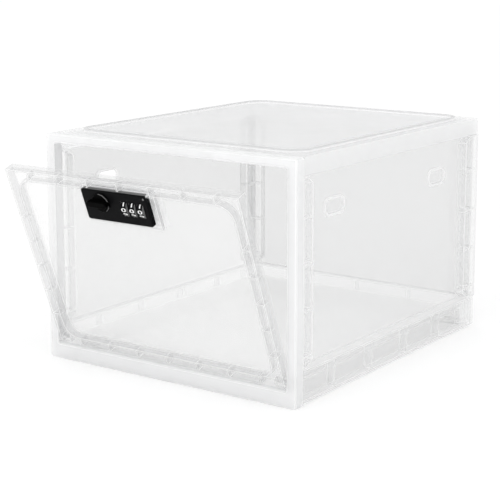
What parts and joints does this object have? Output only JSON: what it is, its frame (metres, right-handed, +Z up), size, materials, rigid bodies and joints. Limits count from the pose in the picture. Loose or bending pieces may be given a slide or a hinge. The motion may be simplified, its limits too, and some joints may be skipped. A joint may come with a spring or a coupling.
{
  "type": "medication lock box",
  "caption": "Clear plastic lock box with a drop-down front door, side slots and a stacking ridge; a combination lock on the door swings a cam behind the front frame.",
  "frame": {"origin": "the middle of the surface that the box covers with its door ajar as pictured; the underside is at Z = 0", "axes": "+Z up, +Y from the door to the rear, +X to the right of someone who faces the door"},
  "size_m": [0.287, 0.4098, 0.223],
  "materials": {
    "clear_plastic": "clear polished moulding",
    "frosted_plastic": "milky translucent moulding",
    "white_plastic": "opaque white moulding",
    "black_plastic": "satin black",
    "steel": "plated steel"
  },
  "bodies": {
    "housing": {"front_frame": "frosted_plastic", "base_panel": "clear_plastic", "top_panel": "clear_plastic", "right_side_panel": "clear_plastic", "left_side_panel": "clear_plastic", "rear_panel": "clear_plastic"},
    "door": {"door_panel": "clear_plastic", "hinge_pin_right": "steel", "hinge_pin_left": "steel", "lock_plate": "black_plastic", "lock_body": "white_plastic", "lock_bracket": "white_plastic", "dial_shaft": "steel", "detent_spring": "steel", "bracket_screw_1": "steel", "bracket_screw_2": "steel"},
    "turn_knob": {"knob": "black_plastic", "cam": "steel", "cam_screw": "steel"},
    "first_dial": {"dial_1": "black_plastic"},
    "second_dial": {"dial_2": "black_plastic"},
    "third_dial": {"dial_3": "black_plastic"},
    "reset_button": {"reset_pin": "steel"}
  },
  "joints": [
    {"name": "door_hinge", "type": "hinge", "parent": "housing", "child": "door", "pos_m": [0, -0.13115, 0.0212], "axis": [1, 0, 0], "range_deg": [-21.3, 68.7]},
    {"name": "knob_turn", "type": "hinge", "parent": "door", "child": "turn_knob", "pos_m": [-0.0212, -0.19192, 0.17707], "axis": [0, 0.9317, 0.3633], "range_deg": [0, 90]},
    {"name": "dial_1_turn", "type": "hinge", "parent": "door", "child": "first_dial", "pos_m": [0.004, -0.18955, 0.17349], "axis": [1, 0, 0], "continuous": true},
    {"name": "dial_2_turn", "type": "hinge", "parent": "door", "child": "second_dial", "pos_m": [0.0132, -0.18955, 0.17349], "axis": [1, 0, 0], "continuous": true},
    {"name": "dial_3_turn", "type": "hinge", "parent": "door", "child": "third_dial", "pos_m": [0.0224, -0.18955, 0.17349], "axis": [1, 0, 0], "continuous": true},
    {"name": "reset_press", "type": "slide", "parent": "door", "child": "reset_button", "axis": [0, 0.9317, 0.3633], "range_m": [0, 0.0012], "stiffness_N_per_m": 150, "springref_m": -0.001}
  ]
}
